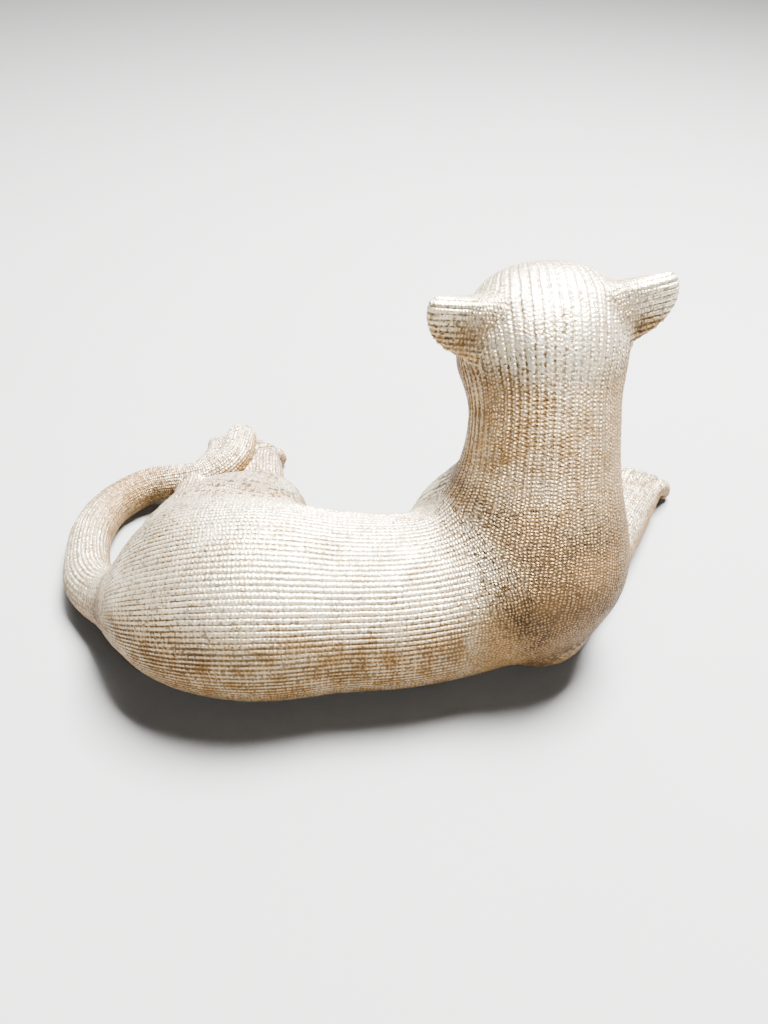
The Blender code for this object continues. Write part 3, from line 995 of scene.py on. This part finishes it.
def note_ribs(mesh):
    """Stores rib counts, bead rows and the way along at corners, and relief, and wear with painted light
    and shade, at points.
    """
    points, faces = mesh_arrays(mesh)
    count, along, share, depth, period = ribs(points)
    column = share[faces].sum(axis=1).argmax(axis=1)

    def chosen(values):
        return np.take_along_axis(values[faces], column[:, None, None], axis=2)[..., 0]

    own = chosen(count)
    own = own[:, :1] + short_way(own - own[:, :1], period[column][:, None])
    corners = {
        "rib_count": own,
        "rib_along": chosen(along),
        "bead_row": own * BEAD_ROWS[column][:, None],
        "grain_row": own * GRAIN_ROWS[column][:, None],
    }
    store(mesh, "CORNER", corners)
    # Pale on upward skin, the head's top and the ear tips: rubbed wear and painted light from above; the
    # neck is left darker as painted shade
    crown = ramp(points[:, 2], *PALE_CROWN)
    on_ear = share[:, -2:].sum(axis=1)
    on_limb = share[:, 2:-2].sum(axis=1)
    rubbed_and_lit = (
        ramp(upwardness(points), *PALE_FACING) * (1 - share[:, 1] * NECK_SHADE),
        crown * (1 - on_ear),
        on_ear * ramp(points[:, 2], *PALE_EARS),
    )
    levels = {
        "rib_depth": (share * depth).sum(axis=1) / DEPTH_FULL * (1 - CROWN_FLATTENS * crown),
        "grain": grain(points) * (1 - smooth_face(points)),
        "fold_patina_and_shade": ramp(part_distances(points).min(axis=1) - figure(points), *FOLD_PATINA_AND_SHADE),
        "worn_and_lit": np.maximum.reduce(rubbed_and_lit) * (1 - tail_stain(points)),
        "nicked": np.maximum(region(points, NICKED), on_limb * LIMB_NICKS),
    }
    store(mesh, "POINT", levels)


def upwardness(points):
    """How far the bare skin at each point faces upward, from -1 to 1."""
    steps = np.eye(3) * FACING_REACH
    slope = np.stack([figure(points + step) - figure(points - step) for step in steps], axis=1)
    return slope[:, 2] / np.maximum(lengths(slope), 1e-6)


def place_in(box, piece):
    """Moves the mesh to the middle of the box, standing on its floor."""
    low, high = map(np.array, box)
    points = mesh_arrays(piece.data)[0] * MM
    own_low, own_high = points.min(axis=0), points.max(axis=0)
    shift = (low + high - own_low - own_high) / 2
    shift[2] = low[2] - own_low[2]
    piece.data.vertices.foreach_set("co", (points + shift).ravel())
    piece.data.update()


# ---- Paint ----


class Paint:
    """A material's node tree, and short calls that add nodes to it."""

    def __init__(self, name):
        self.material = bpy.data.materials.new(name)
        self.material.use_nodes = True
        self.tree = self.material.node_tree
        self.shader = self.tree.nodes["Principled BSDF"]

    def node(self, kind, inputs=(), **settings):
        """A new node, its inputs given in order or by name or number."""
        made = self.tree.nodes.new(kind)
        assign(made, settings)
        for key, value in inputs.items() if isinstance(inputs, dict) else enumerate(inputs):
            self.feed(made.inputs[key], value)
        return made

    def feed(self, socket, value):
        if isinstance(value, bpy.types.NodeSocket):
            self.tree.links.new(value, socket)
        else:
            socket.default_value = value

    def set(self, name, value):
        """Feeds one of the shader's own sockets."""
        self.feed(self.shader.inputs[name], value)

    def attributes(self, *names):
        return [self.node("ShaderNodeAttribute", attribute_name=name).outputs["Fac"] for name in names]

    def math(self, operation, *values, clamp=False):
        return self.node("ShaderNodeMath", values, operation=operation, use_clamp=clamp).outputs[0]

    def times(self, first, *others):
        for other in others:
            first = self.math("MULTIPLY", first, other)
        return first

    def plus(self, value, share, amount=1.0, clamp=False):
        """A value with the given amount of a share added."""
        return self.math("MULTIPLY_ADD", share, amount, value, clamp=clamp)

    def step(self, value, low, high):
        """A smooth step of value from 0 at low to 1 at high, which may be the lesser."""
        ends = (value, low, high)
        return self.node("ShaderNodeMapRange", ends, interpolation_type="SMOOTHSTEP").outputs[0]

    def mix(self, share, first, second):
        """One colour in place of another; the node's colours go in at 6 and 7 and come out at 2."""
        return self.node("ShaderNodeMix", {0: share, 6: first, 7: second}, data_type="RGBA").outputs[2]

    def blend(self, share, first, second):
        """One value in place of another by a share from 0 to 1."""
        sockets = isinstance(first, bpy.types.NodeSocket)
        span = self.math("SUBTRACT", second, first) if sockets else second - first
        return self.plus(first, share, span)

    def noise(self, scale, detail=2):
        """Noise about 0.5, with features of the given size in millimetres."""
        place = self.node("ShaderNodeTexCoord").outputs["Object"]
        inputs = {"Vector": place, "Scale": 1 / (scale * MM), "Detail": detail}
        return self.node("ShaderNodeTexNoise", inputs).outputs[0]

    def stray(self, scale):
        """Noise about zero."""
        return self.math("SUBTRACT", self.noise(scale), 0.5)

    def cloud(self, scale, detail, low, high):
        """Noise that fades in from one of its levels to another."""
        return self.step(self.noise(scale, detail), low, high)

    def rows(self, ways, strays, amount):
        """Rows of shifted cells a unit wide: distance off a cell's middle, and the cell's own number.

        The ways run across the rows and along them.
        """
        across, along = (self.plus(way, stray, amount) for way, stray in zip(ways, strays))
        row = self.math("FLOOR", across)
        shift = self.node("ShaderNodeTexWhiteNoise", {"W": row}, noise_dimensions="1D").outputs[0]
        along = self.math("ADD", along, shift)
        offsets = [self.math("SUBTRACT", self.math("FRACT", way), 0.5) for way in (across, along)]
        squares = [self.times(offset, offset) for offset in offsets]
        cell = self.node("ShaderNodeCombineXYZ", {"X": row, "Y": self.math("FLOOR", along)}).outputs[0]
        number = self.node("ShaderNodeTexWhiteNoise", {"Vector": cell}, noise_dimensions="2D").outputs[0]
        return self.math("SQRT", self.math("ADD", *squares)), number


def gold_resin():
    """Champagne-gold paint with brown patina in the grooves, pitted and beaded finer than the mesh; painted
    pale on upward skin, by wear and as light from above, and darker as shade elsewhere and in the folds.
    """
    paint = Paint("gold_resin")
    times, plus, step = paint.times, paint.plus, paint.step
    count, along, row, grain_row = paint.attributes("rib_count", "rib_along", "bead_row", "grain_row")
    names = ("rib_depth", "grain", "fold_patina_and_shade", "worn_and_lit", "nicked")
    depth, grainy, fold_patina_and_shade, worn_and_lit, nicked = paint.attributes(*names)
    patches = paint.cloud(*PATCHES)
    smudge = paint.cloud(*SMUDGES)
    fleck = paint.noise(*FLECKS)
    # skin that doesn't face up, and is little worn, is painted darker and warmer as shade
    fresh_and_shaded = times(paint.math("SUBTRACT", 1.0, worn_and_lit), paint.blend(smudge, *FRESH_AND_SHADED))

    size, amount = GROOVE_STRAY
    stray = paint.stray(size)
    across = paint.math("PINGPONG", plus(count, stray, amount), 0.5)
    groove = step(plus(across, fresh_and_shaded, -GROOVE_SPREAD), *GROOVE)
    way = plus(paint.math("DIVIDE", along, STITCH), stray)
    pit = times(groove, step(paint.math("PINGPONG", way, 0.5), *STITCH_EDGE))

    bead_way = paint.math("DIVIDE", along, BEAD_PITCH)
    strays = [paint.stray(size) for size in BEAD_STRAY]
    on_rib, rib_own = paint.rows((row, bead_way), strays, JITTER[0])
    on_grain, grain_own = paint.rows((grain_row, bead_way), strays, JITTER[1])
    loose = step(grainy, *LOOSE)
    bead = step(paint.blend(loose, on_rib, on_grain), *BEAD_EDGE)
    own = paint.blend(loose, rib_own, grain_own)
    nick_ways = (times(count, NICKS[0]), paint.math("DIVIDE", along, NICKS[1]))
    nick, nick_own = paint.rows(nick_ways, strays, NICK_STRAY)
    nick = times(step(nick, *NICK_EDGE), step(nick_own, *NICK_CHOICE), nicked)

    furrow = plus(times(groove, FURROW[0]), pit, FURROW[1])
    hollow = times(furrow, depth, paint.blend(grainy, *RIBBED))
    beaded = step(grainy, *BEADED)
    soiled_and_shaded = plus(paint.blend(fresh_and_shaded, *SOILED_AND_SHADED), beaded, SOILED_GRAIN)
    between = times(paint.math("SUBTRACT", 1.0, bead), soiled_and_shaded)
    speck = times(paint.cloud(*SPECKS), paint.blend(soiled_and_shaded, *SPECK_DARK))
    worked = paint.math("MULTIPLY", plus(depth, grainy), WORKED, clamp=True)
    flecked = times(paint.math("MAXIMUM", speck, nick), worked)
    marks = plus(hollow, plus(between, flecked), clamp=True)
    dark = times(marks, paint.blend(patches, *DARK))
    # folds between parts painted darker: brown patina and painted shade
    dark = plus(dark, fold_patina_and_shade, FOLD_PATINA_AND_SHADE_DARK, clamp=True)

    smudge = times(smudge, paint.blend(worn_and_lit, *SMUDGE_WORN_AND_LIT))
    brassy = times(grainy, paint.blend(worn_and_lit, *BRASS_WORN_AND_LIT))
    # warm gold from smudges and grain, and painted shade on skin that doesn't face up
    warm_and_shaded = paint.math("MAXIMUM", smudge, paint.math("MAXIMUM", brassy, fresh_and_shaded))
    light = paint.mix(times(warm_and_shaded, WARM_MOST), PALE_GOLD, WARM_GOLD_AND_SHADE)
    light = paint.mix(times(own, GLINT_MOST), light, GLINT)
    paint.set("Base Color", paint.mix(dark, light, paint.mix(patches, BROWN, BRONZE)))
    sheen = plus(paint.blend(plus(fleck, own), *SHEEN), fresh_and_shaded, FRESH_AND_SHADED_ROUGH)
    paint.set("Roughness", plus(sheen, dark, DARK_ROUGH))
    paint.set("Metallic", METALLIC)

    pits = times(paint.math("MAXIMUM", hollow, nick), -PIT_DEPTH)
    grains = times(bead, paint.blend(beaded, *BEAD_BUMP), paint.blend(own, *BEAD_OWN))
    height = plus(plus(pits, grains), fleck, FLECK_HEIGHT)
    bump = paint.node("ShaderNodeBump", {"Strength": 1.0, "Distance": MM, "Height": height})
    paint.set("Normal", bump.outputs[0])
    paint.material.diffuse_color = PALE_GOLD
    return paint.material


def studio_floor():
    paint = Paint("studio_floor")
    paint.set("Base Color", paint.mix(paint.noise(*FLOOR_CLOUDS), *FLOOR_COLOURS))
    paint.set("Roughness", FLOOR_ROUGHNESS)
    return paint.material


# ---- Floor, light and camera ----


def add_floor(low):
    bpy.ops.mesh.primitive_plane_add(size=FLOOR_SIZE, location=(0, 0, low))
    floor = bpy.context.object
    floor.name = "studio_floor"
    floor.data.materials.append(studio_floor())


def add_light(name, direction, distance, size, power, target):
    """A square light that faces the target."""
    data = bpy.data.lights.new(name, "AREA")
    data.size = size
    data.energy = power
    light = add_object(name, data)
    light.location = target + Vector(direction).normalized() * distance
    light.rotation_euler = (target - light.location).to_track_quat("-Z", "Y").to_euler()


def add_world():
    world = bpy.data.worlds.new("studio")
    world.use_nodes = True
    background = world.node_tree.nodes["Background"]
    background.inputs["Color"].default_value = WORLD_COLOUR
    background.inputs["Strength"].default_value = WORLD_STRENGTH
    bpy.context.scene.world = world


def add_camera(box):
    low, high = box
    data = bpy.data.cameras.new("camera")
    data.lens = CAMERA_LENS
    camera = add_object("camera", data)
    aim = Vector(((low[0] + high[0]) / 2, (low[1] + high[1]) / 2, low[2])) + Vector(CAMERA_AIM) * MM
    rise = math.radians(CAMERA_RISE)
    back = Vector((0, math.cos(rise), math.sin(rise)))
    camera.location = aim + back * CAMERA_DISTANCE * MM
    camera.rotation_euler = (math.pi / 2 - rise, 0, math.pi)
    bpy.context.scene.camera = camera


def main():
    leopard = surface()
    note_ribs(leopard.data)
    place_in(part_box("leopard"), leopard)
    leopard.data.materials.append(gold_resin())
    leopard.data.shade_smooth()
    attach(leopard, "root")
    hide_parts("leopard")

    low, high = cad_box
    add_floor(low[2])
    middle = (low + high) / 2
    for light in LIGHTS:
        add_light(*light, middle)
    add_world()
    add_camera(cad_box)


main()
